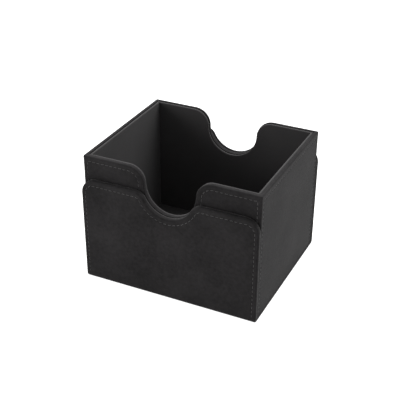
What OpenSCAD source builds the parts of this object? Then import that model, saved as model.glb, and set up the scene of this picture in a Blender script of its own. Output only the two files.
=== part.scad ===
// Card tray standing in its own U-shaped cover: a front flap, a base and a back flap.
// X runs left to right, Y front to back and Z up, with the origin under the middle of the cover.

/* [Tray] */
// Outside width of the tray, left to right
tray_w = 150; // [132:1:180]
// Outside depth of the tray, front to back
tray_d = 122; // [70:1:150]
// Height of the tray's rim above the surface that the cover stands on
rim_z = 110; // [106:0.5:114]
// Thickness of the board in the tray's walls and floor
tray_board_t = 2.4; // [1.8:0.1:3]
// Thickness of the lined card inside the tray's walls and floor
tray_lining_t = 2.2; // [0.8:0.1:2.6]

/* [Cover] */
// How far each flap stands out past the tray's sides
flap_overhang = 0.5; // [0:0.1:1]
// Height of the flaps
flap_z = 91.5; // [86:0.5:94]
// Radius of the flaps' top corners
flap_corner_r = 12; // [8:0.5:16]
// Thickness of the board in the flaps
flap_board_t = 2.4; // [1.7:0.1:2.8]
// Thickness of the lined card behind the flaps
flap_lining_t = 1.5; // [0.8:0.1:2]
// Thickness of the board in the base
base_board_t = 1; // [0.8:0.1:1.6]
// Thickness of the lining on the base
base_lining_t = 0.4; // [0.3:0.1:0.6]
// How far the base stops short of the flaps' side edges
base_setback = 0; // [0:0.1:1]
// Outer radius of the folds between the base and the flaps
fold_r = 3; // [2.8:0.1:3.5]
// Free space between a flap and the tray's wall
slide_gap = 0.3; // [0.25:0.05:0.6]

/* [Finger notches] */
// Radius of the notches' round bottom
notch_r = 22; // [18:0.5:25]
// Height of the centre of the notches' round bottom
notch_z = 96; // [94:0.5:98]
// Radius of the shoulders beside the tray's notches
tray_shoulder_r = 14; // [11:0.5:15]
// Radius of the shoulders beside the flaps' notches
flap_shoulder_r = 10; // [8:0.5:12]

/* [Skin and stitching] */
// Thickness of the skin
skin_t = 0.6; // [0.5:0.05:0.7]
// Step down from the skin's edge to the lining's edge
lining_step = 0.3; // [0.1:0.1:0.5]
// Width of a line of stitching
thread_w = 0.5; // [0.4:0.1:0.8]
// How far a line of stitching stands proud of the skin
thread_proud = 0.1; // [0:0.05:0.15]
// Distance from a top edge or notch edge to the stitching
seam_top = 4.3; // [3.5:0.1:5.5]
// Distance from a side edge to the stitching
seam_side = 3.2; // [2.5:0.1:5.5]

/* [Magnets] */
// Diameter of the magnet discs
magnet_d = 10; // [6:0.5:14]
// Thickness of the magnet discs
magnet_t = 1.4; // [1:0.1:1.5]
// Distance from the middle of the box to each magnet disc
magnet_x = 50; // [36:1:55]

/* [Hidden] */

skin_colour = [0.17, 0.17, 0.175];
lining_colour = [0.13, 0.13, 0.135];
board_colour = [0.55, 0.53, 0.5];
thread_colour = [0.3, 0.3, 0.31];
magnet_colour = [0.75, 0.76, 0.78];

$fn = 96;
cut = 1;                                   // how far a cutting shape runs past what it cuts
pocket_gap = 0.1;                          // space round a magnet disc in its pocket
thread_sunk = 0.3;                         // depth of the stitching's channel in the skin
blend = 0.01;                              // a shoulder is this much rounder, so its arc crosses its neighbours

// Base of the cover, from the bottom up
base_skin_top = skin_t;
base_board_top = base_skin_top + base_board_t;
base_top = base_board_top + base_lining_t;

// Tray floor, from the bottom up
tray_skin_top = base_top + skin_t;
tray_board_top = tray_skin_top + tray_board_t;
tray_floor_top = tray_board_top + tray_lining_t;

// Planes of the tray's walls, measured out from the middle; x_ for the sides, y_ for front and back
x_outer = tray_w / 2;
x_board = x_outer - skin_t;
x_lining = x_board - tray_board_t;
x_inner = x_lining - tray_lining_t;
y_outer = tray_d / 2;
y_board = y_outer - skin_t;
y_lining = y_board - tray_board_t;
y_inner = y_lining - tray_lining_t;

// Planes of the flaps, measured out from the middle
flap_inner = y_outer + slide_gap;
flap_lining = flap_inner + flap_lining_t;
flap_board = flap_lining + flap_board_t;
flap_outer = flap_board + skin_t;
flap_x = x_outer + flap_overhang;
base_x = flap_x - base_setback;

magnet_z = (base_top + rim_z) / 2;         // half height, so that the discs also meet with the cover on top

// Plate with a 2D outline in the XZ plane, from distance near to distance far in front of the middle
module plate_front(near, far) {
    translate([0, -near, 0]) rotate([90, 0, 0]) linear_extrude(far - near) children();
}

// Plate with a 2D outline in the YZ plane, from distance near to distance far left of the middle
module plate_left(near, far) {
    translate([-far, 0, 0]) rotate([90, 0, 90]) linear_extrude(far - near) children();
}

// Box with its middle on X and Y at the origin, between two heights
module slab(half_x, half_y, low, high) {
    translate([-half_x, -half_y, low]) cube([2 * half_x, 2 * half_y, high - low]);
}

// Finger notch open at a top edge at height top, with shoulders of radius r; inset widens it all round
module notch(top, r, inset) {
    shoulder_z = top - r;
    shoulder_x = sqrt(pow(notch_r + r, 2) - pow(notch_z - shoulder_z, 2));
    share = notch_r / (notch_r + r);       // where the round bottom and a shoulder touch
    touch_x = shoulder_x * share;
    touch_z = notch_z + (shoulder_z - notch_z) * share;
    translate([0, notch_z]) circle(notch_r + inset);
    difference() {
        polygon([
            [-shoulder_x, shoulder_z], [-touch_x, touch_z], [touch_x, touch_z],
            [shoulder_x, shoulder_z], [shoulder_x, top + cut], [-shoulder_x, top + cut]
        ]);
        for (side = [-1, 1]) translate([side * shoulder_x, shoulder_z]) circle(r - inset + blend);
    }
}

// Upright rectangle from height bottom to height top
module upright(half_w, bottom, top) {
    translate([-half_w, bottom]) square([2 * half_w, top - bottom]);
}

// Outline of the tray's front or back wall, drawn in by side at its ends and by edge along its top
module tray_wall_outline(half_w, bottom, side, edge) {
    difference() {
        upright(half_w - side, bottom, rim_z - edge);
        notch(rim_z, tray_shoulder_r, edge);
    }
}

// Outline of a flap, drawn in by side at its ends and by edge along its top
module flap_outline(bottom, side, edge) {
    r = flap_corner_r - edge;
    corner_x = flap_x - side - r;
    difference() {
        union() {
            upright(flap_x - side, bottom, flap_z - edge - r);
            upright(corner_x, bottom, flap_z - edge);
            for (end = [-1, 1]) translate([end * corner_x, flap_z - edge - r]) circle(r);
        }
        notch(flap_z, flap_shoulder_r, edge);
    }
}

// Prism whose ends are mitred at 45 degrees, for a wall piece that reaches the box's upright edges
module mitred_front(near, far, half_w) {
    depth = far - near;
    linear_extrude(rim_z + cut) polygon([
        [-half_w, -far], [half_w, -far], [half_w - depth, -near], [depth - half_w, -near]
    ]);
}

module mitred_left(near, far, half_d) {
    depth = far - near;
    linear_extrude(rim_z + cut) polygon([
        [-far, -half_d], [-far, half_d], [-near, half_d - depth], [-near, depth - half_d]
    ]);
}

// Line of stitching as a 2D band: the first child less the second
module seam_band() {
    difference() {
        children(0);
        children(1);
    }
}

// Magnet discs, or their pockets when gap is above 0, seated from the outer face of a board
module discs_front(outer, gap) {
    for (side = [-1, 1])
        translate([side * magnet_x, -outer, magnet_z])
            rotate([-90, 0, 0])
                translate([0, 0, gap > 0 ? -cut : 0])
                    cylinder(d = magnet_d + 2 * gap, h = magnet_t + gap + (gap > 0 ? cut : 0));
}

// Tray boards

module tray_front_board() {
    color(board_colour) difference() {
        plate_front(y_lining, y_board) tray_wall_outline(x_board, tray_skin_top, 0, skin_t);
        discs_front(y_board, pocket_gap);
    }
}

module tray_back_board() {
    mirror([0, 1, 0]) tray_front_board();
}

module tray_left_board() {
    color(board_colour) plate_left(x_lining, x_board) upright(y_lining, tray_skin_top, rim_z - skin_t);
}

module tray_right_board() {
    mirror([1, 0, 0]) tray_left_board();
}

module tray_floor_board() {
    color(board_colour) slab(x_lining, y_lining, tray_skin_top, tray_board_top);
}

// Tray skins: each covers its wall's outer face and turns over the board's top edge

module tray_front_skin() {
    color(skin_colour) difference() {
        intersection() {
            plate_front(y_lining, y_outer) tray_wall_outline(x_outer, base_top, 0, 0);
            mitred_front(y_lining, y_outer, x_outer);
        }
        plate_front(y_lining - cut, y_board) tray_wall_outline(x_outer, base_top - cut, -cut, skin_t);
        tray_front_thread(thread_sunk);
    }
}

module tray_back_skin() {
    mirror([0, 1, 0]) tray_front_skin();
}

module tray_left_skin() {
    color(skin_colour) difference() {
        intersection() {
            plate_left(x_lining, x_outer) upright(y_outer, base_top, rim_z);
            mitred_left(x_lining, x_outer, y_outer);
        }
        plate_left(x_lining - cut, x_board) upright(y_outer + cut, base_top - cut, rim_z - skin_t);
        tray_left_thread(thread_sunk);
    }
}

module tray_right_skin() {
    mirror([1, 0, 0]) tray_left_skin();
}

module tray_bottom_skin() {
    color(skin_colour) slab(x_board, y_board, base_top, tray_skin_top);
}

// Tray linings: card covered with soft cloth, its top edge a little below the skin's, down to the floor board

module tray_front_lining() {
    color(lining_colour)
        plate_front(y_inner, y_lining) tray_wall_outline(x_lining, tray_board_top, 0, lining_step);
}

module tray_back_lining() {
    mirror([0, 1, 0]) tray_front_lining();
}

module tray_left_lining() {
    color(lining_colour)
        plate_left(x_inner, x_lining) upright(y_inner, tray_board_top, rim_z - lining_step);
}

module tray_right_lining() {
    mirror([1, 0, 0]) tray_left_lining();
}

module tray_floor_lining() {
    color(lining_colour) slab(x_inner, y_inner, tray_board_top, tray_floor_top);
}

// Tray stitching: one line along the top and notch, and down both ends of each wall

module tray_front_thread(depth) {
    plate_front(y_outer - depth, y_outer + thread_proud) seam_band() {
        tray_wall_outline(x_outer, tray_board_top, seam_side, seam_top);
        tray_wall_outline(x_outer, base_top - cut, seam_side + thread_w, seam_top + thread_w);
    }
}

module tray_left_thread(depth) {
    plate_left(x_outer - depth, x_outer + thread_proud) seam_band() {
        upright(y_outer - seam_side, tray_board_top, rim_z - seam_top);
        upright(y_outer - seam_side - thread_w, base_top - cut, rim_z - seam_top - thread_w);
    }
}

module tray_front_stitching() {
    color(thread_colour) tray_front_thread(thread_sunk);
}

module tray_back_stitching() {
    mirror([0, 1, 0]) tray_front_stitching();
}

module tray_left_stitching() {
    color(thread_colour) tray_left_thread(thread_sunk);
}

module tray_right_stitching() {
    mirror([1, 0, 0]) tray_left_stitching();
}

// Magnets let into the boards

module tray_front_magnets() {
    color(magnet_colour) discs_front(y_board, 0);
}

module tray_back_magnets() {
    mirror([0, 1, 0]) tray_front_magnets();
}

module cover_front_magnets() {
    color(magnet_colour) discs_front(flap_board, 0);
}

module cover_back_magnets() {
    mirror([0, 1, 0]) cover_front_magnets();
}

// Cover: section from front to back with rounded lower corners, drawn in by inset
module cover_section(half_w, inset) {
    r = fold_r - inset;
    corner_y = flap_outer - fold_r;
    plate_left(-half_w, half_w) {
        upright(flap_outer - inset, fold_r, flap_z + cut);
        upright(corner_y, inset, fold_r + cut);
        for (end = [-1, 1]) translate([end * corner_y, fold_r]) circle(r);
    }
}

module cover_front_board() {
    color(board_colour) difference() {
        intersection() {
            plate_front(flap_lining, flap_board) flap_outline(base_skin_top, skin_t, skin_t);
            cover_section(flap_x, skin_t);
        }
        discs_front(flap_board, pocket_gap);
    }
}

module cover_back_board() {
    mirror([0, 1, 0]) cover_front_board();
}

module cover_base_board() {
    color(board_colour) slab(base_x - skin_t, flap_lining, base_skin_top, base_board_top);
}

// A flap's skin covers its outer face above the fold and turns over the board's edges
module cover_front_skin() {
    color(skin_colour) difference() {
        plate_front(flap_lining, flap_outer) flap_outline(fold_r, 0, 0);
        plate_front(flap_lining - cut, flap_board) flap_outline(fold_r - cut, skin_t, skin_t);
        cover_front_thread(thread_sunk);
    }
}

module cover_back_skin() {
    mirror([0, 1, 0]) cover_front_skin();
}

// Strips in front of and behind the base, under the flaps, between two heights
module under_flaps(half_x, low, high) {
    for (start = [-flap_outer, flap_lining])
        translate([-half_x, start, low]) cube([2 * half_x, flap_outer - flap_lining, high - low]);
}

// The base's skin holds both folds and turns up over the edges of the base board
module cover_base_skin() {
    color(skin_colour) difference() {
        intersection() {
            cover_section(flap_x, 0);
            union() {
                slab(base_x, flap_lining, 0, base_board_top);
                under_flaps(flap_x, 0, fold_r);
            }
        }
        slab(base_x - skin_t, flap_lining, base_skin_top, base_board_top + cut);
        intersection() {
            cover_section(flap_x - skin_t, skin_t);
            under_flaps(flap_x, 0, fold_r + cut);
        }
    }
}

module cover_front_lining() {
    color(lining_colour)
        plate_front(flap_inner, flap_lining) flap_outline(base_top, lining_step, lining_step);
}

module cover_back_lining() {
    mirror([0, 1, 0]) cover_front_lining();
}

module cover_base_lining() {
    color(lining_colour) slab(base_x - lining_step, flap_lining, base_board_top, base_top);
}

// One line of stitching up both sides of a flap, round its corners and along its top and notch
module cover_front_thread(depth) {
    plate_front(flap_outer - depth, flap_outer + thread_proud) seam_band() {
        flap_outline(fold_r + cut, seam_side, seam_top);
        flap_outline(0, seam_side + thread_w, seam_top + thread_w);
    }
}

module cover_front_stitching() {
    color(thread_colour) cover_front_thread(thread_sunk);
}

module cover_back_stitching() {
    mirror([0, 1, 0]) cover_front_stitching();
}

tray_front_board();
tray_back_board();
tray_left_board();
tray_right_board();
tray_floor_board();
tray_front_skin();
tray_back_skin();
tray_left_skin();
tray_right_skin();
tray_bottom_skin();
tray_front_lining();
tray_back_lining();
tray_left_lining();
tray_right_lining();
tray_floor_lining();
tray_front_stitching();
tray_back_stitching();
tray_left_stitching();
tray_right_stitching();
tray_front_magnets();
tray_back_magnets();
cover_front_board();
cover_back_board();
cover_base_board();
cover_front_skin();
cover_back_skin();
cover_base_skin();
cover_front_lining();
cover_back_lining();
cover_base_lining();
cover_front_stitching();
cover_back_stitching();
cover_front_magnets();
cover_back_magnets();
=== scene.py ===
import math
import random

import bpy
from mathutils import Matrix
from mathutils import Vector


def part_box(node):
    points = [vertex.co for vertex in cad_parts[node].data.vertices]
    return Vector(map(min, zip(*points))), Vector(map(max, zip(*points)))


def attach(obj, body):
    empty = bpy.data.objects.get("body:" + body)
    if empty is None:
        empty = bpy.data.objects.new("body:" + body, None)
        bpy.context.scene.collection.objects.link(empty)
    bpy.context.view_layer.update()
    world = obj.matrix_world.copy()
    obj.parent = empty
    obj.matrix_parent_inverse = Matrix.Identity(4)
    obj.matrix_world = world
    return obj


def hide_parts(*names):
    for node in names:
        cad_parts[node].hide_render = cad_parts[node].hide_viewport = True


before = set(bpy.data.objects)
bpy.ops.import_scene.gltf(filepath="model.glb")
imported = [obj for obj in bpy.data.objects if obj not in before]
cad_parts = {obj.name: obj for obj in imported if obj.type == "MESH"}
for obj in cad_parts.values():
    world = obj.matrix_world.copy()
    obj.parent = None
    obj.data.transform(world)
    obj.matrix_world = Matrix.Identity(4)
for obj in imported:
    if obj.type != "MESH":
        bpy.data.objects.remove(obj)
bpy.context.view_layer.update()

# Places that every piece shares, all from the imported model
trayLow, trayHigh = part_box("tray_right_skin")        # outer face, underside and rim of the tray
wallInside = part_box("tray_back_skin")[0].y           # where the outer ply ends and the lined ply begins
flapLow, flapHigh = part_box("cover_back_skin")        # outer face and top of a flap, and the start of its fold
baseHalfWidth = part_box("cover_base_skin")[1].x
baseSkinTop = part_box("cover_base_board")[1].z

notch = {
    "radius": 0.022,          # round bottom of every finger notch
    "height": 0.096,          # centre of the round bottom
    "trayShoulder": 0.014,
    "flapShoulder": 0.010,
    "flapCorner": 0.012,
    "roundSteps": 18,
    "shoulderSteps": 10,
}

seam = {
    "fromTop": 0.00455,       # stitching's distance from a rim or notch edge
    "fromSide": 0.00345,      # stitching's distance from an upright edge
    "halfWidth": 0.00075,     # the channel that the thread pulls into the skin
    "bedHalfWidth": 0.0003,
    "depth": 0.0002,
    "padding": 0.0001,        # how far the border between edge and seam swells
    "paddingStart": 0.0016,
    "lowEnd": 0.0046,         # where a flap's seam ends above the floor
    "fade": 0.0006,           # length over which its channel runs out there
    "trayLowEnd": 0.0026,     # the same end on the tray, above its underside
    "pitch": 0.00385,
    "innerRound": 0.0005,     # where the skin turns down into the groove between the plies
    "tuck": 0.0012,           # how far it reaches down there
}


closeEnough = 0.00002         # points nearer than this to a line or plane count as on it
weldDistance = 0.00001
sharpEdge = math.radians(50)  # edges that turn more than this get rounded


# Camera, light and floor

cameraSettings = {
    "azimuth": 25.201,
    "elevation": 30.052,
    "roll": 0.4695,
    "lens": 79.657,
    "distance": 0.77468,
    "aim": (-0.010687, 0.020585, 0.040174),
}


def addCamera():
    turn = math.radians(cameraSettings["azimuth"])
    rise = math.radians(cameraSettings["elevation"])
    back = Vector((math.sin(turn) * math.cos(rise), -math.cos(turn) * math.cos(rise), math.sin(rise)))
    bpy.ops.object.camera_add(location=Vector(cameraSettings["aim"]) + back * cameraSettings["distance"])
    camera = bpy.context.active_object
    camera.name = "productCamera"
    aimed = (-back).to_track_quat("-Z", "Y").to_matrix().to_4x4()
    rolled = aimed @ Matrix.Rotation(math.radians(cameraSettings["roll"]), 4, "Z")
    camera.rotation_euler = rolled.to_euler()
    camera.data.lens = cameraSettings["lens"]
    camera.data.sensor_width = 36
    camera.data.clip_start = 0.01
    bpy.context.scene.camera = camera


lightSettings = {
    "world": 0.62,
    "aim": (0, 0, 0.05),
    "lamps": [
        {"name": "keyRight", "place": (1.7, 1.1, 1.55), "size": 1.8, "power": 41},
        {"name": "topBack", "place": (-0.3, 0.8, 2.2), "size": 1.4, "power": 100},
        {"name": "fillLeft", "place": (-0.9, -1.0, 0.3), "size": 0.8, "power": 15},
    ],
}


def addLights():
    world = bpy.data.worlds.new("paleStudio")
    bpy.context.scene.world = world
    world.use_nodes = True
    world.node_tree.nodes["Background"].inputs["Color"].default_value = (1, 1, 1, 1)
    world.node_tree.nodes["Background"].inputs["Strength"].default_value = lightSettings["world"]
    for lamp in lightSettings["lamps"]:
        bpy.ops.object.light_add(type="AREA", location=lamp["place"])
        light = bpy.context.active_object
        light.name = lamp["name"]
        light.data.shape = "SQUARE"
        light.data.size = lamp["size"]
        light.data.energy = lamp["power"]
        towards = Vector(lightSettings["aim"]) - Vector(lamp["place"])
        light.rotation_euler = towards.to_track_quat("-Z", "Y").to_euler()


floorSettings = {
    "size": 30,
    "colour": (0.3, 0.3, 0.3, 1),
    "glow": 0.97,             # the floor is a light table, so shadows on it stay pale
    "roughness": 0.9,
    "specular": 0.1,
}


def addFloor():
    bpy.ops.mesh.primitive_plane_add(size=floorSettings["size"], location=(0, 0, 0))
    floor = bpy.context.active_object
    floor.name = "paleFloor"
    material = bpy.data.materials.new("paleFloor")
    material.use_nodes = True
    shader = material.node_tree.nodes["Principled BSDF"]
    shader.inputs["Base Color"].default_value = floorSettings["colour"]
    shader.inputs["Emission Color"].default_value = (1, 1, 1, 1)
    shader.inputs["Emission Strength"].default_value = floorSettings["glow"]
    shader.inputs["Roughness"].default_value = floorSettings["roughness"]
    shader.inputs["Specular IOR Level"].default_value = floorSettings["specular"]
    floor.data.materials.append(material)


bpy.context.scene.view_settings.view_transform = "Standard"
bpy.ops.object.select_all(action="DESELECT")
addCamera()
addLights()
addFloor()
print("camera, lights and floor placed")


# Modelling steps that the pieces share

def drawLine(name, points):        # a run of points joined by edges; leaves edit mode on
    bpy.ops.object.select_all(action="DESELECT")
    bpy.ops.mesh.primitive_plane_add(size=0.001, location=points[0])
    piece = bpy.context.active_object
    piece.name = name
    piece.data.name = name
    bpy.ops.object.transform_apply(location=True, rotation=True, scale=True)
    bpy.ops.object.mode_set(mode="EDIT")
    bpy.ops.mesh.select_mode(type="VERT")
    bpy.ops.mesh.merge(type="CENTER")
    for start, end in zip(points, points[1:]):
        bpy.ops.mesh.extrude_region_move(TRANSFORM_OT_translate={"value": end - start})
    bpy.ops.mesh.select_all(action="SELECT")
    return piece


def addToGroup(piece, groupName, test):        # later extrusions of these points stay in the group
    bpy.ops.object.mode_set(mode="OBJECT")
    group = piece.vertex_groups.new(name=groupName)
    group.add([vertex.index for vertex in piece.data.vertices if test(vertex.co)], 1, "REPLACE")
    bpy.ops.object.mode_set(mode="EDIT")


def pull(axis, target):        # extrudes what is selected straight to a plane
    flat = [1, 1, 1]
    flat[axis] = 0
    pivot = [0, 0, 0]
    pivot[axis] = target
    bpy.ops.mesh.extrude_region_move()
    bpy.ops.transform.resize(value=flat, center_override=pivot)


def spinAbout(centre, degrees, axis, steps):
    bpy.ops.mesh.spin(steps=steps, angle=math.radians(degrees), center=centre, axis=axis)


def pickPoints(piece, test, groupName=None):
    bpy.ops.object.mode_set(mode="EDIT")
    bpy.ops.mesh.select_mode(type="VERT")
    bpy.ops.mesh.select_all(action="DESELECT")
    bpy.ops.object.mode_set(mode="OBJECT")
    wanted = piece.vertex_groups[groupName].index if groupName else None
    for vertex in piece.data.vertices:
        member = groupName is None or any(link.group == wanted for link in vertex.groups)
        vertex.select = member and test(vertex.co)
    bpy.ops.object.mode_set(mode="EDIT")


def mergeDoubles():
    bpy.ops.mesh.select_all(action="SELECT")
    bpy.ops.mesh.remove_doubles(threshold=weldDistance)
    bpy.ops.mesh.dissolve_degenerate(threshold=weldDistance / 2)


def applyModifier(piece, kind, **settings):
    if bpy.context.mode != "OBJECT":
        bpy.ops.object.mode_set(mode="OBJECT")
    bpy.ops.object.select_all(action="DESELECT")
    piece.select_set(True)
    bpy.context.view_layer.objects.active = piece
    modifier = piece.modifiers.new(kind.title(), kind)
    for setting, value in settings.items():
        setattr(modifier, setting, value)
    bpy.ops.object.modifier_apply(modifier=modifier.name)


def mirrorPiece(piece, leftRight=True, frontBack=False):
    applyModifier(piece, "MIRROR", use_axis=(leftRight, frontBack, False), merge_threshold=weldDistance)
    bpy.ops.object.mode_set(mode="EDIT")
    mergeDoubles()
    bpy.ops.mesh.normals_make_consistent(inside=False)
    bpy.ops.object.mode_set(mode="OBJECT")


def smoothPiece(piece, degrees=40):
    bpy.ops.object.select_all(action="DESELECT")
    piece.select_set(True)
    bpy.context.view_layer.objects.active = piece
    bpy.ops.object.shade_smooth_by_angle(angle=math.radians(degrees))
    applyModifier(piece, "WEIGHTED_NORMAL", keep_sharp=True)        # large flat faces stay flat in the light


def joinPieces(name, parts):
    bpy.ops.object.select_all(action="DESELECT")
    for part in parts:
        part.select_set(True)
    bpy.context.view_layer.objects.active = parts[0]
    bpy.ops.object.join()
    parts[0].name = name
    parts[0].data.name = name
    return parts[0]


def hand(piece, body, slot, material, *nodes):        # puts a finished piece into the frame
    piece.data.materials.clear()
    piece.data.materials.append(material)
    piece.vertex_groups.clear()
    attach(piece, body)
    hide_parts(*nodes)


# Section of a covered border, from the groove between the plies out over the edge to the seam and the field.
# Each step is how deep it lies behind the outer face and how far it is from the edge.
def borderSection(plyDepth):
    channel = [
        (0, seam["fromTop"] - seam["halfWidth"]),
        (seam["depth"], seam["fromTop"] - seam["bedHalfWidth"]),
        (seam["depth"], seam["fromTop"] + seam["bedHalfWidth"]),
        (0, seam["fromTop"] + seam["halfWidth"]),
    ]
    innerRound = seam["innerRound"]
    turnedEdge = [(plyDepth, seam["tuck"])]
    for angle in (0, math.pi / 6, math.pi / 3, math.pi / 2):
        turnedEdge.append((plyDepth - innerRound + innerRound * math.cos(angle),
                           innerRound - innerRound * math.sin(angle)))
    turnedEdge.append((0, 0))
    padding = [(-seam["padding"], seam["paddingStart"]), (-seam["padding"], seam["fromTop"] / 2)]
    return turnedEdge + padding + channel


def isNear(value, target):
    return abs(value - target) < closeEnough


def followTrayNotch():        # carries a drawn line round a tray notch and its shoulder
    shoulder = notch["radius"] + notch["trayShoulder"]
    spinAbout((0, 0, notch["height"]), -90, (0, 1, 0), notch["roundSteps"])
    spinAbout((-shoulder, 0, notch["height"]), 90, (0, 1, 0), notch["shoulderSteps"])


def flapShoulderAngle():        # turn from the flat top down to where the round bottom takes over
    drop = notch["height"] - (flapHigh.z - notch["flapShoulder"])
    return math.degrees(math.acos(drop / (notch["radius"] + notch["flapShoulder"])))


def flapShoulderPlace():
    reach = notch["radius"] + notch["flapShoulder"]
    return reach * math.sin(math.radians(flapShoulderAngle())), flapHigh.z - notch["flapShoulder"]


def flapCornerPlace():
    return flapHigh.x - notch["flapCorner"], flapHigh.z - notch["flapCorner"]


def followFlapEdge():        # the same round a flap's notch and shoulder, along its top and round its corner
    angle = flapShoulderAngle()
    shoulderX, shoulderZ = flapShoulderPlace()
    cornerX, cornerZ = flapCornerPlace()
    spinAbout((0, 0, notch["height"]), -angle, (0, 1, 0), notch["roundSteps"])
    spinAbout((-shoulderX, 0, shoulderZ), angle, (0, 1, 0), notch["shoulderSteps"])
    pull(0, -cornerX)
    spinAbout((-cornerX, 0, cornerZ), 90, (0, 1, 0), coverWrap["cornerSteps"])


# Tray: outer skin, one wrap with its edge turned over the board

trayWrap = {
    "edgeRadius": 0.0009,
    "thickness": 0.0005,
    "hem": 0.0015,            # turned under the tray
    "pastCorner": 0.003,      # swept past the corner, for the mitre to cut
    "underGap": 0.0001,       # between the hem and the sheet under the tray
    "underRadius": 0.0002,
}


def seamStops(edge):        # places where an upright seam's channel starts, runs and ends, going outwards
    middle = edge - seam["fromSide"]
    return [
        middle - seam["halfWidth"],
        middle - seam["bedHalfWidth"],
        middle + seam["bedHalfWidth"],
        middle + seam["halfWidth"],
    ]


def sweepWall(plyDepth):        # left half of the front wall
    section = borderSection(plyDepth)
    bottom = notch["height"] - notch["radius"]
    points = [Vector((0, depth - trayHigh.y, bottom - inset)) for depth, inset in section]
    piece = drawLine("trayWallHalf", points)
    addToGroup(piece, "fieldEdge", lambda place: isNear(place.z, points[-1].z))
    bpy.ops.mesh.select_all(action="SELECT")
    followTrayNotch()
    for stop in seamStops(trayHigh.x):
        pull(0, -stop)
    pull(0, -trayHigh.x - trayWrap["pastCorner"])
    pickPoints(piece, lambda place: True, "fieldEdge")
    pull(2, trayLow.z)
    bpy.ops.mesh.extrude_region_move(TRANSFORM_OT_translate={"value": (0, trayWrap["hem"], 0)})
    return piece


def sweepSide(plyDepth):        # front half of the left wall
    section = borderSection(plyDepth)
    points = [Vector((depth - trayHigh.x, 0, trayHigh.z - inset)) for depth, inset in section]
    piece = drawLine("traySideHalf", points)
    addToGroup(piece, "fieldEdge", lambda place: isNear(place.z, points[-1].z))
    bpy.ops.mesh.select_all(action="SELECT")
    for stop in seamStops(trayHigh.y):
        pull(1, -stop)
    pull(1, -trayHigh.y - trayWrap["pastCorner"])
    pickPoints(piece, lambda place: True, "fieldEdge")
    pull(2, trayLow.z)
    bpy.ops.mesh.extrude_region_move(TRANSFORM_OT_translate={"value": (trayWrap["hem"], 0, 0)})
    return piece


def mitre(keepFront):        # cuts a swept wall along the diagonal through the tray's corner
    bpy.ops.mesh.select_all(action="SELECT")
    bpy.ops.mesh.bisect(
        plane_co=(-trayHigh.x, -trayHigh.y, 0),
        plane_no=(1, -1, 0),
        clear_inner=keepFront,
        clear_outer=not keepFront,
    )
    bpy.ops.object.mode_set(mode="OBJECT")


def pressUprightSeams(piece):        # the top channel stops at the upright ones, and these start there
    seamTop = trayHigh.z - seam["fromTop"]
    seamX = trayHigh.x - seam["fromSide"]
    seamY = trayHigh.y - seam["fromSide"]
    bed = seam["bedHalfWidth"] + closeEnough
    depth = seam["depth"]
    for side in (-1, 1):
        faceY = side * trayHigh.y
        bedY = faceY - side * depth
        pickPoints(piece, lambda place: isNear(place.y, bedY) and abs(place.x) > seamX + bed)
        bpy.ops.transform.translate(value=(0, side * depth, 0))
        pickPoints(piece, lambda place: isNear(place.y, faceY) and abs(abs(place.x) - seamX) < bed
                   and place.z < seamTop + bed)
        bpy.ops.transform.translate(value=(0, -side * depth, 0))
        faceX = side * trayHigh.x
        bedX = faceX - side * depth
        pickPoints(piece, lambda place: isNear(place.x, bedX) and abs(place.y) > seamY + bed)
        bpy.ops.transform.translate(value=(side * depth, 0, 0))
        pickPoints(piece, lambda place: isNear(place.x, faceX) and abs(abs(place.y) - seamY) < bed
                   and place.z < seamTop + bed)
        bpy.ops.transform.translate(value=(-side * depth, 0, 0))
    bpy.ops.object.mode_set(mode="OBJECT")


def makeTrayWrap(material):
    plyDepth = trayHigh.y - wallInside
    wall = sweepWall(plyDepth)
    mitre(True)
    side = sweepSide(plyDepth)
    mitre(False)
    wrap = joinPieces("tray_outer_skin", [wall, side])
    mirrorPiece(wrap, frontBack=True)
    pressUprightSeams(wrap)
    applyModifier(wrap, "BEVEL", width=trayWrap["edgeRadius"], segments=4, limit_method="ANGLE",
                  angle_limit=sharpEdge, use_clamp_overlap=False)
    applyModifier(wrap, "SOLIDIFY", thickness=trayWrap["thickness"], offset=-1)
    smoothPiece(wrap)
    hand(wrap, "tray", "skin", material, "tray_front_skin", "tray_back_skin", "tray_left_skin",
         "tray_right_skin")
    print("tray skin wrapped", len(wrap.data.polygons))


# Cover: one skin from the front flap, under the tray, to the back flap

coverWrap = {
    "edgeRadius": 0.0012,
    "thickness": 0.0005,
    "foldSteps": 8,
    "cornerSteps": 10,
    "baseStep": 0.0009,       # length over which the wrap thins behind a fold
    "baseLap": 0.0001,        # how far it reaches past the base board's underside
}


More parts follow.
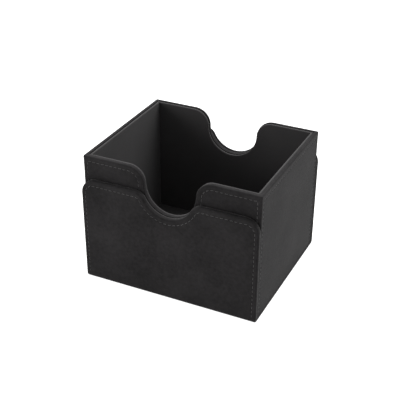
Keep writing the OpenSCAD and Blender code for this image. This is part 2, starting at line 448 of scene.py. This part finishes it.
def makeCoverWrap(material):
    plyDepth = flapHigh.y - flapLow.y
    section = borderSection(plyDepth)
    bottom = notch["height"] - notch["radius"]
    points = [Vector((0, depth - flapHigh.y, bottom - inset)) for depth, inset in section]
    piece = drawLine("cover_skin", points)
    seamStart = points[-4].z + closeEnough
    addToGroup(piece, "fieldEdge", lambda place: isNear(place.z, points[-1].z))
    addToGroup(piece, "seamChannel", lambda place: place.z < seamStart)
    addToGroup(piece, "seamBed", lambda place: isNear(place.y, seam["depth"] - flapHigh.y))
    addToGroup(piece, "padding", lambda place: isNear(place.y, -seam["padding"] - flapHigh.y))
    bpy.ops.mesh.select_all(action="SELECT")

    shoulderX = flapShoulderPlace()[0]
    cornerX, cornerZ = flapCornerPlace()
    followFlapEdge()
    pull(2, seam["lowEnd"] + seam["fade"])
    pull(2, seam["lowEnd"])
    pull(2, flapLow.z)

    shift = seam["fromTop"] - seam["fromSide"]        # the seam runs closer to the upright edge
    pickPoints(piece, lambda place: place.x < -cornerX + closeEnough, "seamChannel")
    bpy.ops.transform.translate(value=(-shift, 0, 0))
    pickPoints(piece, lambda place: place.z < seam["lowEnd"] + closeEnough, "seamBed")
    bpy.ops.transform.translate(value=(0, -seam["depth"], 0))
    pickPoints(piece, lambda place: place.z < seam["lowEnd"] + closeEnough, "padding")
    bpy.ops.transform.translate(value=(0, seam["padding"], 0))

    pickPoints(piece, lambda place: place.z > cornerZ - closeEnough or place.x > -shoulderX, "fieldEdge")
    pull(2, flapLow.z)
    mergeDoubles()
    pickPoints(piece, lambda place: place.z < flapLow.z + closeEnough)
    spinAbout((0, flapLow.z - flapHigh.y, flapLow.z), -90, (1, 0, 0), coverWrap["foldSteps"])
    narrow = baseHalfWidth / flapHigh.x
    thin = (baseSkinTop + coverWrap["baseLap"]) / plyDepth
    bpy.ops.mesh.extrude_region_move(TRANSFORM_OT_translate={"value": (0, coverWrap["baseStep"], 0)})
    bpy.ops.transform.resize(value=(narrow, 1, thin), center_override=(0, 0, 0))
    pull(1, 0)
    bpy.ops.object.mode_set(mode="OBJECT")
    mirrorPiece(piece, frontBack=True)
    applyModifier(piece, "BEVEL", width=coverWrap["edgeRadius"], segments=4, limit_method="ANGLE",
                  angle_limit=sharpEdge, use_clamp_overlap=False)
    applyModifier(piece, "SOLIDIFY", thickness=coverWrap["thickness"], offset=-1)
    smoothPiece(piece)
    hand(piece, "cover", "skin", material, "cover_front_skin", "cover_back_skin", "cover_base_skin")
    print("cover skin wrapped", len(piece.data.polygons))


# Linings: thin card with cloth glued round it, one piece behind each wall

lining = {
    "trayRadius": 0.0007,
    "flapRadius": 0.00045,
    "edgeSegments": 4,
    "band": 0.003,            # width of the strip drawn along a notched edge
    "plyGap": 0.0004,         # open groove between the covered board and the lined ply
    "floorRadius": 0.00015,
}


def thicken(piece, thickness, radius, onlyTop=False):        # a drawn face's thickness and rounded edges
    applyModifier(piece, "SOLIDIFY", thickness=thickness, offset=-1)
    if onlyTop:
        top = max(vertex.co.z for vertex in piece.data.vertices)
        pickPoints(piece, lambda place: isNear(place.z, top))
        bpy.ops.mesh.bevel(offset=radius, segments=lining["edgeSegments"], affect="EDGES")
        bpy.ops.object.mode_set(mode="OBJECT")
    else:
        applyModifier(piece, "BEVEL", width=radius, segments=lining["edgeSegments"], limit_method="ANGLE",
                      angle_limit=sharpEdge, use_clamp_overlap=False)
    smoothPiece(piece)


def faceTowards(piece, direction):        # turns a sheet's faces to one side before it is thickened
    bpy.context.view_layer.objects.active = piece
    bpy.ops.object.mode_set(mode="EDIT")
    bpy.ops.mesh.select_all(action="SELECT")
    if piece.data.polygons[0].normal.dot(Vector(direction)) < 0:
        bpy.ops.mesh.flip_normals()
    bpy.ops.object.mode_set(mode="OBJECT")


def copyToBack(piece, name):        # the same piece turned round for the back, with its own mesh
    bpy.ops.object.select_all(action="DESELECT")
    piece.select_set(True)
    bpy.context.view_layer.objects.active = piece
    bpy.ops.object.duplicate()
    twin = bpy.context.active_object
    twin.name = name
    twin.data.name = name
    bpy.ops.object.mode_set(mode="EDIT")
    bpy.ops.mesh.select_all(action="SELECT")
    bpy.ops.transform.resize(value=(-1, -1, 1), center_override=(0, 0, 0))
    bpy.ops.object.mode_set(mode="OBJECT")
    return twin


def drawBand(name, faceY, step):        # short line from a notch's edge down into the lining's face
    edge = notch["height"] - notch["radius"] - step
    piece = drawLine(name, [Vector((0, faceY, edge)), Vector((0, faceY, edge - lining["band"]))])
    addToGroup(piece, "fieldEdge", lambda place: isNear(place.z, edge - lining["band"]))
    bpy.ops.mesh.select_all(action="SELECT")
    return piece


def makeTrayEndLinings(material):
    low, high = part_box("tray_front_lining")
    piece = drawBand("tray_front_cloth", high.y, trayHigh.z - high.z)
    followTrayNotch()
    pull(0, low.x)
    pickPoints(piece, lambda place: True, "fieldEdge")
    pull(2, low.z)
    mirrorPiece(piece)
    faceTowards(piece, (0, 1, 0))
    thicken(piece, high.y - low.y - lining["plyGap"], lining["trayRadius"])
    twin = copyToBack(piece, "tray_back_cloth")
    hand(piece, "tray", "lining", material, "tray_front_lining")
    hand(twin, "tray", "lining", material, "tray_back_lining")


def makePanel(name, low, high, axis, towards, radius, onlyTop=False):        # flat card facing along an axis
    middle = (low + high) / 2
    middle[axis] = high[axis] if towards > 0 else low[axis]
    turned = {0: (0, math.pi / 2, 0), 1: (math.pi / 2, 0, 0), 2: (0, 0, 0)}
    bpy.ops.object.select_all(action="DESELECT")
    bpy.ops.mesh.primitive_plane_add(size=1, location=middle, rotation=turned[axis])
    panel = bpy.context.active_object
    panel.name = name
    panel.data.name = name
    span = high - low
    across = [span[index] if index != axis else 1 for index in range(3)]
    bpy.ops.object.transform_apply(location=False, rotation=True, scale=True)
    panel.scale = across
    bpy.ops.object.transform_apply(location=True, rotation=True, scale=True)
    direction = [0, 0, 0]
    direction[axis] = towards
    faceTowards(panel, direction)
    thicken(panel, span[axis], radius, onlyTop)
    return panel


def makeTraySideLinings(material):
    for node, name, towards in (("tray_left_lining", "tray_left_cloth", 1),
                                ("tray_right_lining", "tray_right_cloth", -1)):
        low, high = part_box(node)
        if towards > 0:
            low.x += lining["plyGap"]
        else:
            high.x -= lining["plyGap"]
        panel = makePanel(name, low, high, 0, towards, lining["trayRadius"], onlyTop=True)
        hand(panel, "tray", "lining", material, node)


def makeFloors(clothMaterial, coverMaterial):
    low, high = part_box("tray_floor_lining")
    floorCloth = makePanel("tray_floor_cloth", low, high, 2, 1, lining["floorRadius"])
    hand(floorCloth, "tray", "lining", clothMaterial, "tray_floor_lining")
    low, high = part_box("cover_base_lining")
    baseCloth = makePanel("cover_base_cloth", low, high, 2, 1, lining["floorRadius"])
    hand(baseCloth, "cover", "lining", clothMaterial, "cover_base_lining")
    low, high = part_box("tray_bottom_skin")
    gap = trayWrap["hem"] + trayWrap["underGap"]
    low = Vector((gap - trayHigh.x, gap - trayHigh.y, low.z))
    high = Vector((trayHigh.x - gap, trayHigh.y - gap, high.z))
    underside = makePanel("tray_underside", low, high, 2, -1, trayWrap["underRadius"])
    hand(underside, "tray", "skin", coverMaterial, "tray_bottom_skin")


def makeFlapLinings(material):
    low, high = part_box("cover_front_lining")
    shoulderX = flapShoulderPlace()[0]
    cornerZ = flapCornerPlace()[1]
    piece = drawBand("cover_front_cloth", high.y, flapHigh.z - high.z)
    followFlapEdge()
    pull(2, low.z)
    pickPoints(piece, lambda place: place.z > cornerZ - closeEnough or place.x > -shoulderX, "fieldEdge")
    pull(2, low.z)
    mergeDoubles()
    mirrorPiece(piece)
    faceTowards(piece, (0, 1, 0))
    thicken(piece, high.y - low.y - lining["plyGap"], lining["flapRadius"])
    twin = copyToBack(piece, "cover_back_cloth")
    hand(piece, "cover", "lining", material, "cover_front_lining")
    hand(twin, "cover", "lining", material, "cover_back_lining")


# Stitching: one twisted stitch, copied along every seam

stitch = {
    "length": 0.0025,
    "radius": 0.00021,
    "flatness": 0.72,         # a two-ply thread is oval, and the oval turns along it
    "rings": 7,
    "twist": 62,
    "middle": 0.00009,        # how far its middle lies under the skin's face
    "dive": 0.00036,
    "slant": 4,
    "seed": 11,
}


def makeStitch():
    bpy.ops.object.select_all(action="DESELECT")
    start = -stitch["length"] / 2
    bpy.ops.mesh.primitive_circle_add(vertices=6, radius=stitch["radius"], fill_type="NGON",
                                      location=(start, 0, -stitch["dive"]), rotation=(0, math.pi / 2, 0))
    piece = bpy.context.active_object
    piece.name = "stitch"
    bpy.ops.object.transform_apply(location=True, rotation=True, scale=True)
    bpy.ops.object.mode_set(mode="EDIT")
    bpy.ops.mesh.select_all(action="SELECT")
    bpy.ops.transform.resize(value=(1, 1, stitch["flatness"]), center_override=(start, 0, -stitch["dive"]))
    rise = stitch["dive"] - stitch["middle"]
    height = -stitch["dive"]
    for ring in range(1, stitch["rings"] + 1):
        share = ring / stitch["rings"]
        arch = rise * (1 - (2 * share - 1) ** 4) - stitch["dive"]
        forward = stitch["length"] / stitch["rings"]
        bpy.ops.mesh.extrude_region_move(TRANSFORM_OT_translate={"value": (forward, 0, arch - height)})
        height = arch
        middle = (start + share * stitch["length"], 0, height)
        bpy.ops.transform.rotate(value=math.radians(stitch["twist"]), orient_axis="X", center_override=middle)
    bpy.ops.mesh.select_all(action="SELECT")
    bpy.ops.mesh.normals_make_consistent(inside=False)
    bpy.ops.object.mode_set(mode="OBJECT")
    smoothPiece(piece, 60)
    return piece


def lineRun(start, end):
    start = Vector(start)
    end = Vector(end)
    heading = math.atan2(end.y - start.y, end.x - start.x)
    return {"length": (end - start).length, "at": lambda share: (start.lerp(end, share), heading)}


def arcRun(centre, radius, startAngle, endAngle):        # angles in degrees, from the horizontal
    first = math.radians(startAngle)
    last = math.radians(endAngle)
    ahead = math.pi / 2 if last > first else -math.pi / 2

    def at(share):
        angle = first + (last - first) * share
        return Vector(centre) + radius * Vector((math.cos(angle), math.sin(angle))), angle + ahead

    return {"length": radius * abs(last - first), "at": at}


def alongRuns(runs):        # evenly spaced stitch places along joined runs
    total = sum(run["length"] for run in runs)
    count = round(total / seam["pitch"])
    for number in range(count):
        travel = (number + 0.5) * total / count
        for run in runs:
            if travel <= run["length"]:
                yield run["at"](travel / run["length"])
                break
            travel -= run["length"]


facing = {
    "front": {"along": Vector((1, 0, 0)), "out": Vector((0, -1, 0))},
    "back": {"along": Vector((-1, 0, 0)), "out": Vector((0, 1, 0))},
    "left": {"along": Vector((0, -1, 0)), "out": Vector((-1, 0, 0))},
    "right": {"along": Vector((0, 1, 0)), "out": Vector((1, 0, 0))},
}


def sewSeam(name, side, distance, lines, pattern, dice):
    along = facing[side]["along"]
    out = facing[side]["out"]
    upright = Vector((0, 0, 1))
    copies = []
    for runs in lines:
        for place, heading in alongRuns(runs):
            slant = heading + math.radians(stitch["slant"] + dice.uniform(-2, 2))
            forward = along * math.cos(slant) + upright * math.sin(slant)
            across = out.cross(forward)
            middle = along * place.x + upright * place.y + out * distance
            thread = pattern.copy()
            thread.data = pattern.data.copy()
            bpy.context.scene.collection.objects.link(thread)
            turned = Matrix((forward, across, out)).transposed().to_4x4()
            thread.matrix_world = Matrix.Translation(middle) @ turned
            copies.append(thread)
    piece = joinPieces(name, copies)
    bpy.ops.object.transform_apply(location=True, rotation=True, scale=True)
    return piece


def trayEndLines():
    side = trayHigh.x - seam["fromSide"]
    top = trayHigh.z - seam["fromTop"]
    low = trayLow.z + seam["trayLowEnd"]
    shoulder = notch["radius"] + notch["trayShoulder"]
    inner = notch["trayShoulder"] - seam["fromTop"]
    across = [
        lineRun((-side, top), (-shoulder, top)),
        arcRun((-shoulder, notch["height"]), inner, 90, 0),
        arcRun((0, notch["height"]), notch["radius"] + seam["fromTop"], 180, 360),
        arcRun((shoulder, notch["height"]), inner, 180, 90),
        lineRun((shoulder, top), (side, top)),
    ]
    return [[lineRun((-side, low), (-side, top))], across, [lineRun((side, top), (side, low))]]


def traySideLines():
    side = trayHigh.y - seam["fromSide"]
    top = trayHigh.z - seam["fromTop"]
    low = trayLow.z + seam["trayLowEnd"]
    corners = [(-side, low), (-side, top), (side, top), (side, low)]
    return [[lineRun(start, end)] for start, end in zip(corners, corners[1:])]


def flapLines():
    side = flapHigh.x - seam["fromSide"]
    top = flapHigh.z - seam["fromTop"]
    corner = notch["flapCorner"] - seam["fromTop"]
    cornerZ = flapHigh.z - notch["flapCorner"]
    angle = flapShoulderAngle()
    shoulderX, shoulderZ = flapShoulderPlace()
    inner = notch["flapShoulder"] - seam["fromTop"]
    return [[
        lineRun((-side, seam["lowEnd"]), (-side, cornerZ)),
        arcRun((corner - side, cornerZ), corner, 180, 90),
        lineRun((corner - side, top), (-shoulderX, top)),
        arcRun((-shoulderX, shoulderZ), inner, 90, 90 - angle),
        arcRun((0, notch["height"]), notch["radius"] + seam["fromTop"], 270 - angle, 270 + angle),
        arcRun((shoulderX, shoulderZ), inner, 90 + angle, 90),
        lineRun((shoulderX, top), (side - corner, top)),
        arcRun((side - corner, cornerZ), corner, 90, 0),
        lineRun((side, cornerZ), (side, seam["lowEnd"])),
    ]]


def sewEverything(material):
    pattern = makeStitch()
    dice = random.Random(stitch["seed"])
    total = 0
    for body, side, distance, lines in (
        ("tray", "front", trayHigh.y, trayEndLines()),
        ("tray", "back", trayHigh.y, trayEndLines()),
        ("tray", "left", trayHigh.x, traySideLines()),
        ("tray", "right", trayHigh.x, traySideLines()),
        ("cover", "front", flapHigh.y, flapLines()),
        ("cover", "back", flapHigh.y, flapLines()),
    ):
        thread = sewSeam(body + "_" + side + "_thread", side, distance, lines, pattern, dice)
        hand(thread, body, "thread", material, body + "_" + side + "_stitching")
        total += len(thread.data.polygons)
    bpy.data.objects.remove(pattern)
    print("seams sewn", total)


# Finishes

def startFinish(name, roughness):
    material = bpy.data.materials.new(name)
    material.use_nodes = True
    tree = material.node_tree
    shader = tree.nodes["Principled BSDF"]
    shader.inputs["Roughness"].default_value = roughness
    place = tree.nodes.new("ShaderNodeTexCoord")
    return material, tree, shader, place


def addNoise(tree, place, scale, detail=3, roughness=0.5, stretch=None):
    noise = tree.nodes.new("ShaderNodeTexNoise")
    noise.inputs["Scale"].default_value = scale
    noise.inputs["Detail"].default_value = detail
    noise.inputs["Roughness"].default_value = roughness
    source = place.outputs["Object"]
    if stretch:
        mapping = tree.nodes.new("ShaderNodeMapping")
        mapping.inputs["Scale"].default_value = stretch
        tree.links.new(source, mapping.inputs["Vector"])
        source = mapping.outputs["Vector"]
    tree.links.new(source, noise.inputs["Vector"])
    return noise.outputs["Fac"]


def blendValues(tree, first, second, share):
    mix = tree.nodes.new("ShaderNodeMix")
    mix.inputs["Factor"].default_value = share
    tree.links.new(first, mix.inputs["A"])
    tree.links.new(second, mix.inputs["B"])
    return mix.outputs["Result"]


def addRamp(tree, value, stops):
    ramp = tree.nodes.new("ShaderNodeValToRGB")
    tree.links.new(value, ramp.inputs["Fac"])
    elements = ramp.color_ramp.elements
    for index, (position, colour) in enumerate(stops):
        element = elements[index] if index < 2 else elements.new(position)
        element.position = position
        element.color = (*colour, 1)
    return ramp.outputs["Color"]


def addBump(tree, height, strength, distance, before=None):
    bump = tree.nodes.new("ShaderNodeBump")
    bump.inputs["Strength"].default_value = strength
    bump.inputs["Distance"].default_value = distance
    tree.links.new(height, bump.inputs["Height"])
    if before:
        tree.links.new(before, bump.inputs["Normal"])
    return bump.outputs["Normal"]


skinFinish = {
    "dark": (0.0053, 0.0049, 0.0051),
    "light": (0.0146, 0.0136, 0.0141),
    "roughness": 0.85,
    "specular": 0.08,
    "sheen": 0.055,
    "sheenRoughness": 0.4,
    "cloudScale": 30,
    "napScale": 330,
    "toothScale": 2600,
    "napShare": 0.5,          # against the clouds
    "toothShare": 0.3,        # against both
    "darkEnd": 0.38,
    "lightEnd": 0.62,
    "napRelief": (0.35, 0.00025),        # strength and height
    "toothRelief": (0.5, 0.00012),
}


def makeSkinMaterial():        # napped suede: soft clouds, brushed mottling and a fine tooth
    material, tree, shader, place = startFinish("charcoalSuede", skinFinish["roughness"])
    cloud = addNoise(tree, place, skinFinish["cloudScale"], 3, 0.5)
    nap = addNoise(tree, place, skinFinish["napScale"], 5, 0.65)
    tooth = addNoise(tree, place, skinFinish["toothScale"], 3, 0.6)
    brushed = blendValues(tree, cloud, nap, skinFinish["napShare"])
    tone = blendValues(tree, brushed, tooth, skinFinish["toothShare"])
    colour = addRamp(tree, tone, [(skinFinish["darkEnd"], skinFinish["dark"]),
                                  (skinFinish["lightEnd"], skinFinish["light"])])
    tree.links.new(colour, shader.inputs["Base Color"])
    rough = addBump(tree, nap, *skinFinish["napRelief"])
    tree.links.new(addBump(tree, tooth, *skinFinish["toothRelief"], rough), shader.inputs["Normal"])
    shader.inputs["Sheen Weight"].default_value = skinFinish["sheen"]
    shader.inputs["Sheen Roughness"].default_value = skinFinish["sheenRoughness"]
    shader.inputs["Specular IOR Level"].default_value = skinFinish["specular"]
    return material


clothFinish = {
    "dark": (0.0210, 0.0199, 0.0203),
    "light": (0.0320, 0.0304, 0.0311),
    "roughness": 0.9,
    "specular": 0.15,
    "sheen": 0.12,
    "sheenRoughness": 0.45,
    "cloudScale": 18,
    "pileScale": 3400,
    "pileShare": 0.4,
    "darkEnd": 0.35,
    "lightEnd": 0.65,
    "pileRelief": (0.45, 0.0001),
}


def makeClothMaterial():        # short even pile
    material, tree, shader, place = startFinish("blackPileCloth", clothFinish["roughness"])
    cloud = addNoise(tree, place, clothFinish["cloudScale"], 2, 0.45)
    pile = addNoise(tree, place, clothFinish["pileScale"], 2, 0.55)
    tone = blendValues(tree, cloud, pile, clothFinish["pileShare"])
    colour = addRamp(tree, tone, [(clothFinish["darkEnd"], clothFinish["dark"]),
                                  (clothFinish["lightEnd"], clothFinish["light"])])
    tree.links.new(colour, shader.inputs["Base Color"])
    tree.links.new(addBump(tree, pile, *clothFinish["pileRelief"]), shader.inputs["Normal"])
    shader.inputs["Sheen Weight"].default_value = clothFinish["sheen"]
    shader.inputs["Sheen Roughness"].default_value = clothFinish["sheenRoughness"]
    shader.inputs["Specular IOR Level"].default_value = clothFinish["specular"]
    return material


threadFinish = {
    "dark": (0.023, 0.0225, 0.0228),
    "light": (0.053, 0.0520, 0.0526),
    "roughness": 0.62,
    "specular": 0.25,
    "sheen": 0.1,
    "fibreScale": 5200,
    "batchScale": 120,
    "batchShare": 0.4,
    "darkEnd": 0.35,
    "lightEnd": 0.65,
    "fibreRelief": (0.5, 0.00006),
}


def makeThreadMaterial():
    material, tree, shader, place = startFinish("greyPolyesterThread", threadFinish["roughness"])
    fibre = addNoise(tree, place, threadFinish["fibreScale"], 2, 0.6)
    batch = addNoise(tree, place, threadFinish["batchScale"], 2, 0.5)
    tone = blendValues(tree, fibre, batch, threadFinish["batchShare"])
    colour = addRamp(tree, tone, [(threadFinish["darkEnd"], threadFinish["dark"]),
                                  (threadFinish["lightEnd"], threadFinish["light"])])
    tree.links.new(colour, shader.inputs["Base Color"])
    tree.links.new(addBump(tree, fibre, *threadFinish["fibreRelief"]), shader.inputs["Normal"])
    shader.inputs["Sheen Weight"].default_value = threadFinish["sheen"]
    shader.inputs["Specular IOR Level"].default_value = threadFinish["specular"]
    return material


boardFinish = {
    "dark": (0.23, 0.215, 0.195),
    "middle": (0.40, 0.38, 0.35),
    "light": (0.50, 0.48, 0.45),
    "roughness": 0.93,
    "pulpScale": 160,
    "fleckScale": 900,
    "fleckStretch": (1, 0.25, 1),
    "fleckShare": 0.6,
    "fleckRelief": (0.3, 0.0001),
}


def makeBoardMaterial():        # grey recycled board with darker and lighter fibres
    material, tree, shader, place = startFinish("greyboard", boardFinish["roughness"])
    pulp = addNoise(tree, place, boardFinish["pulpScale"], 4, 0.6)
    flecks = addNoise(tree, place, boardFinish["fleckScale"], 2, 0.4, boardFinish["fleckStretch"])
    stops = [(0.3, boardFinish["dark"]), (0.5, boardFinish["middle"]), (0.72, boardFinish["light"])]
    colour = addRamp(tree, blendValues(tree, pulp, flecks, boardFinish["fleckShare"]), stops)
    tree.links.new(colour, shader.inputs["Base Color"])
    tree.links.new(addBump(tree, flecks, *boardFinish["fleckRelief"]), shader.inputs["Normal"])
    return material


magnetFinish = {
    "dark": (0.60, 0.60, 0.59),
    "light": (0.74, 0.735, 0.72),
    "roughness": 0.24,
    "grainScale": 1500,
    "grainStretch": (1, 0.1, 1),
    "grainRelief": (0.15, 0.00003),
}


def makeMagnetMaterial():        # nickel plate with a faint turned grain
    material, tree, shader, place = startFinish("nickelPlate", magnetFinish["roughness"])
    grain = addNoise(tree, place, magnetFinish["grainScale"], 2, 0.5, magnetFinish["grainStretch"])
    colour = addRamp(tree, grain, [(0.3, magnetFinish["dark"]), (0.7, magnetFinish["light"])])
    tree.links.new(colour, shader.inputs["Base Color"])
    tree.links.new(addBump(tree, grain, *magnetFinish["grainRelief"]), shader.inputs["Normal"])
    shader.inputs["Metallic"].default_value = 1
    return material


def finishHiddenCore(boardMaterial, magnetMaterial):        # carried-over boards and discs inside the skins
    for node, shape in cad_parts.items():
        if shape.hide_render:
            continue
        material = magnetMaterial if node.endswith("magnets") else boardMaterial
        shape.data.materials.clear()
        shape.data.materials.append(material)


skinMaterial = makeSkinMaterial()
clothMaterial = makeClothMaterial()
makeTrayWrap(skinMaterial)
makeCoverWrap(skinMaterial)
makeTrayEndLinings(clothMaterial)
makeTraySideLinings(clothMaterial)
makeFloors(clothMaterial, skinMaterial)
makeFlapLinings(clothMaterial)
print("linings fitted")
sewEverything(makeThreadMaterial())
finishHiddenCore(makeBoardMaterial(), makeMagnetMaterial())
print("finishes done")
